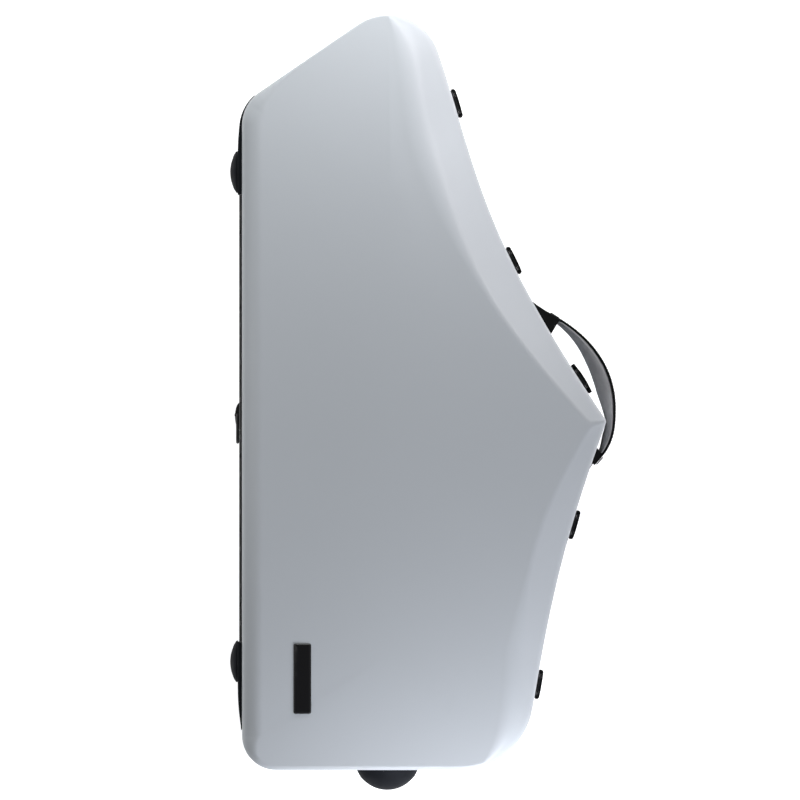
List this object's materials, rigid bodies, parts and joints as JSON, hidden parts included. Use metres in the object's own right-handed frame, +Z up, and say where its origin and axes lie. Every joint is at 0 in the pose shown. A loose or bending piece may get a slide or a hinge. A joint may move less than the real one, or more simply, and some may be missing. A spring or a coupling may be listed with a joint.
{
  "type": "alto saxophone case",
  "caption": "Shaped hard case for an alto saxophone: two moulded shells on a long spine hinge, draw latches, a side handle, rubber feet and a fitted liner.",
  "frame": {"origin": "on the floor, under the middle of the object's footprint, with the case lying on its back", "axes": "+Z up through the lid, +Y along the case towards the top shoulder, +X from the spine towards the bell side"},
  "size_m": [0.3278, 0.6572, 0.1819],
  "materials": {
    "satin_shell": "satin, lightly scuffed",
    "black_plastic": "semi-matt",
    "slate_rubber": "matt, dark slate",
    "black_metal": "black, semi-gloss",
    "steel": "dull bright steel",
    "grey_pad": "fine grain, padded",
    "dark_plush": "short plush",
    "gloss_plate": "domed, gloss"
  },
  "bodies": {
    "base": {"base_shell": "satin_shell", "rim_tongue": "black_plastic", "base_liner": "dark_plush", "hinge_leaf_base": "black_metal", "hinge_pin": "steel", "lower_guard_base": "slate_rubber", "upper_guard_base": "slate_rubber", "lower_spine_foot_base": "slate_rubber", "upper_spine_foot_base": "slate_rubber", "bottom_foot_base": "slate_rubber", "strap_ring_mount": "black_metal", "handle_strap": "black_plastic", "handle_grip": "grey_pad", "handle_mount_upper": "black_plastic", "handle_mount_lower": "black_plastic", "handle_screw_upper": "steel", "handle_screw_lower": "steel", "latch_1_plate": "black_metal", "latch_2_plate": "black_metal", "latch_centre_plate": "black_metal", "latch_3_plate": "black_metal", "latch_4_plate": "black_metal"},
    "lid": {"lid_shell": "satin_shell", "rim_seal": "slate_rubber", "lid_liner": "dark_plush", "hinge_leaf_lid": "black_metal", "lower_guard_lid": "slate_rubber", "upper_guard_lid": "slate_rubber", "lower_spine_foot_lid": "slate_rubber", "upper_spine_foot_lid": "slate_rubber", "bottom_foot_lid": "slate_rubber", "badge_plate": "gloss_plate", "latch_1_keeper": "black_metal", "latch_2_keeper": "black_metal", "latch_centre_keeper": "black_metal", "latch_3_keeper": "black_metal", "latch_4_keeper": "black_metal"},
    "strap_ring": {"strap_ring": "black_metal"},
    "latch_1_lever": {"latch_1_lever": "black_plastic"},
    "latch_1_claw": {"latch_1_claw": "black_metal"},
    "latch_2_lever": {"latch_2_lever": "black_plastic"},
    "latch_2_claw": {"latch_2_claw": "black_metal"},
    "latch_centre_lever": {"latch_centre_lever": "black_plastic"},
    "latch_centre_claw": {"latch_centre_claw": "black_metal"},
    "latch_3_lever": {"latch_3_lever": "black_plastic"},
    "latch_3_claw": {"latch_3_claw": "black_metal"},
    "latch_4_lever": {"latch_4_lever": "black_plastic"},
    "latch_4_claw": {"latch_4_claw": "black_metal"}
  },
  "joints": [
    {"name": "lid_hinge", "type": "hinge", "parent": "base", "child": "lid", "pos_m": [-0.1546, -0.0131, 0.1], "axis": [0, -1, 0], "range_deg": [0, 105]},
    {"name": "strap_ring_swing", "type": "hinge", "parent": "base", "child": "strap_ring", "pos_m": [-0.1579, -0.01022, 0.069], "axis": [0, 0, -1], "range_deg": [0, 180]},
    {"name": "latch_1_lever_hinge", "type": "hinge", "parent": "base", "child": "latch_1_lever", "pos_m": [0.02837, 0.25454, 0.095], "axis": [0.2892, -0.9573, 0], "range_deg": [0, 85]},
    {"name": "latch_1_claw_hinge", "type": "hinge", "parent": "latch_1_lever", "child": "latch_1_claw", "pos_m": [0.02837, 0.25454, 0.0885], "axis": [0.2892, -0.9573, 0], "range_deg": [-85, 0]},
    {"name": "latch_2_lever_hinge", "type": "hinge", "parent": "base", "child": "latch_2_lever", "pos_m": [0.0769, 0.12101, 0.095], "axis": [0.4365, -0.8997, 0], "range_deg": [0, 85]},
    {"name": "latch_2_claw_hinge", "type": "hinge", "parent": "latch_2_lever", "child": "latch_2_claw", "pos_m": [0.0769, 0.12101, 0.0885], "axis": [0.4365, -0.8997, 0], "range_deg": [-85, 0]},
    {"name": "latch_centre_lever_hinge", "type": "hinge", "parent": "base", "child": "latch_centre_lever", "pos_m": [0.13437, 0.02048, 0.095], "axis": [0.54, -0.8416, 0], "range_deg": [0, 85]},
    {"name": "latch_centre_claw_hinge", "type": "hinge", "parent": "latch_centre_lever", "child": "latch_centre_claw", "pos_m": [0.13437, 0.02048, 0.0885], "axis": [0.54, -0.8416, 0], "range_deg": [-85, 0]},
    {"name": "latch_3_lever_hinge", "type": "hinge", "parent": "base", "child": "latch_3_lever", "pos_m": [0.12852, -0.10369, 0.095], "axis": [-0.2802, -0.9599, 0], "range_deg": [0, 85]},
    {"name": "latch_3_claw_hinge", "type": "hinge", "parent": "latch_3_lever", "child": "latch_3_claw", "pos_m": [0.12852, -0.10369, 0.0885], "axis": [-0.2802, -0.9599, 0], "range_deg": [-85, 0]},
    {"name": "latch_4_lever_hinge", "type": "hinge", "parent": "base", "child": "latch_4_lever", "pos_m": [0.0982, -0.23932, 0.095], "axis": [-0.1697, -0.9855, 0], "range_deg": [0, 85]},
    {"name": "latch_4_claw_hinge", "type": "hinge", "parent": "latch_4_lever", "child": "latch_4_claw", "pos_m": [0.0982, -0.23932, 0.0885], "axis": [-0.1697, -0.9855, 0], "range_deg": [-85, 0]}
  ],
  "couplings": [
    {"joint": "latch_1_claw_hinge", "follows": "latch_1_lever_hinge", "ratio": -1},
    {"joint": "latch_2_claw_hinge", "follows": "latch_2_lever_hinge", "ratio": -1},
    {"joint": "latch_centre_claw_hinge", "follows": "latch_centre_lever_hinge", "ratio": -1},
    {"joint": "latch_3_claw_hinge", "follows": "latch_3_lever_hinge", "ratio": -1},
    {"joint": "latch_4_claw_hinge", "follows": "latch_4_lever_hinge", "ratio": -1}
  ]
}
